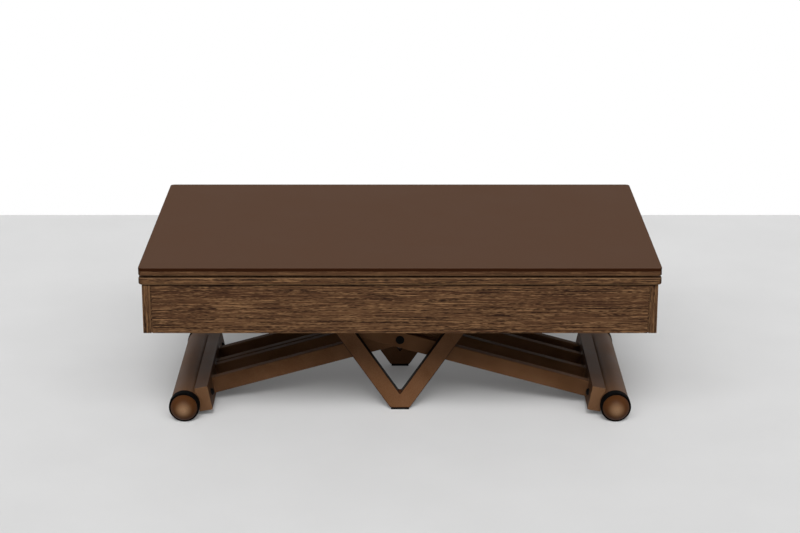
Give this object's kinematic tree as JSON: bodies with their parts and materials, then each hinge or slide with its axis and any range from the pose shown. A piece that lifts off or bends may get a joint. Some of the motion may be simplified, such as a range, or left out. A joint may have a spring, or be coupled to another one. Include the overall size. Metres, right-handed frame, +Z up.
{
  "type": "convertible coffee dining table",
  "caption": "Low table on crossed bronze scissor legs with roller feet; it rises to dining height, and its dark oak top slides out and unfolds like a book.",
  "frame": {"origin": "on the floor, under the middle of the folded top", "axes": "+X along the table's length, +Y towards the hinged rear edge, +Z up"},
  "size_m": [1.2, 0.7, 0.427],
  "materials": {
    "brown_glass": "satin, back-painted brown",
    "dark_oak": "open-pore dark stained oak",
    "raw_beech": "plain planed beech",
    "bronze_paint": "satin bronze powder coat",
    "black_paint": "satin black",
    "bright_steel": "zinc plated",
    "chrome_rod": "polished",
    "black_rubber": "matte",
    "black_nylon": "moulded",
    "felt": "pressed felt"
  },
  "bodies": {
    "left_foot": {"left_axle": "bright_steel", "left_hubs": "black_nylon", "left_tyres": "black_rubber", "left_caps": "bronze_paint"},
    "left_scissor": {"left_foot_tube": "bronze_paint", "left_tube_bearings": "black_nylon", "left_crossbar": "bronze_paint", "left_crossbar_plates": "bronze_paint", "left_foot_bolts": "black_paint", "left_leg_1": "bronze_paint", "left_leg_2": "bronze_paint", "left_leg_3": "bronze_paint", "left_leg_4": "bronze_paint", "left_leg_bushes": "black_nylon", "pivot_shaft": "black_paint", "pivot_spacers": "black_nylon"},
    "right_scissor": {"right_foot_tube": "bronze_paint", "right_tube_bearings": "black_nylon", "right_crossbar": "bronze_paint", "right_crossbar_plates": "bronze_paint", "right_foot_bolts": "black_paint", "right_leg_1": "bronze_paint", "right_leg_2": "bronze_paint", "right_leg_3": "bronze_paint", "right_leg_4": "bronze_paint", "right_leg_bushes": "black_nylon", "pivot_bushes": "black_nylon"},
    "right_foot": {"right_axle": "bright_steel", "right_hubs": "black_nylon", "right_tyres": "black_rubber", "right_caps": "bronze_paint"},
    "left_carriage": {"left_upper_shaft": "bright_steel", "left_shoes": "black_nylon", "gas_spring_rod": "chrome_rod"},
    "right_carriage": {"right_upper_shaft": "bright_steel", "right_shoes": "black_nylon", "gas_spring_cylinder": "black_paint"},
    "release": {"release_lever": "black_paint"},
    "top_frame": {"front_apron": "dark_oak", "rear_apron": "dark_oak", "left_apron": "dark_oak", "right_apron": "dark_oak", "corner_blocks": "raw_beech", "glide_strips": "felt", "front_rail": "bronze_paint", "rear_rail": "bronze_paint", "rail_end_angles": "bronze_paint", "front_v_foot": "bronze_paint", "rear_v_foot": "bronze_paint", "v_foot_pads": "black_rubber", "v_brackets": "bronze_paint", "v_bolts": "black_paint", "runner_channels": "bright_steel"},
    "sliding_leaf": {"lower_leaf": "dark_oak", "runner_bars": "bright_steel", "hinge_lower_halves": "bright_steel", "hinge_pins": "bright_steel"},
    "folding_leaf": {"upper_board": "dark_oak", "top_sheet": "brown_glass", "hinge_upper_halves": "bright_steel"}
  },
  "joints": [
    {"name": "lift", "type": "hinge", "parent": "left_foot", "child": "left_scissor", "pos_m": [-0.5175, 0, 0.0365], "axis": [0, -1, 0], "range_deg": [0, 21.04]},
    {"name": "scissor", "type": "hinge", "parent": "left_scissor", "child": "right_scissor", "pos_m": [0, 0, 0.172], "axis": [0, 1, 0], "range_deg": [0, 42.18]},
    {"name": "right_roll", "type": "hinge", "parent": "right_scissor", "child": "right_foot", "pos_m": [0.5175, 0, 0.0365], "axis": [0, 1, 0], "continuous": true},
    {"name": "left_level", "type": "hinge", "parent": "right_scissor", "child": "left_carriage", "pos_m": [-0.5175, 0, 0.3156], "axis": [0, -1, 0], "range_deg": [0, 21.14]},
    {"name": "right_level", "type": "hinge", "parent": "left_scissor", "child": "right_carriage", "pos_m": [0.5175, 0, 0.3156], "axis": [0, 1, 0], "range_deg": [0, 21.14]},
    {"name": "top_travel", "type": "slide", "parent": "right_carriage", "child": "top_frame", "axis": [1, 0, 0], "range_m": [0, 0.0866]},
    {"name": "release_pull", "type": "hinge", "parent": "right_carriage", "child": "release", "pos_m": [0.5175, 0.07, 0.3156], "axis": [0, 1, 0], "range_deg": [0, 18], "stiffness_Nm_per_rad": 0.6},
    {"name": "leaf_slide", "type": "slide", "parent": "top_frame", "child": "sliding_leaf", "axis": [0, -1, 0], "range_m": [0, 0.3466]},
    {"name": "leaf_fold", "type": "hinge", "parent": "sliding_leaf", "child": "folding_leaf", "pos_m": [0, 0.3466, 0.4067], "axis": [-1, 0, 0], "range_deg": [0, 180]}
  ],
  "couplings": [
    {"joint": "scissor", "follows": "lift", "ratio": 2},
    {"joint": "left_level", "follows": "lift", "ratio": 1},
    {"joint": "right_level", "follows": "lift", "ratio": 1},
    {"joint": "top_travel", "follows": "lift", "m_per_rad": 0.23435}
  ]
}
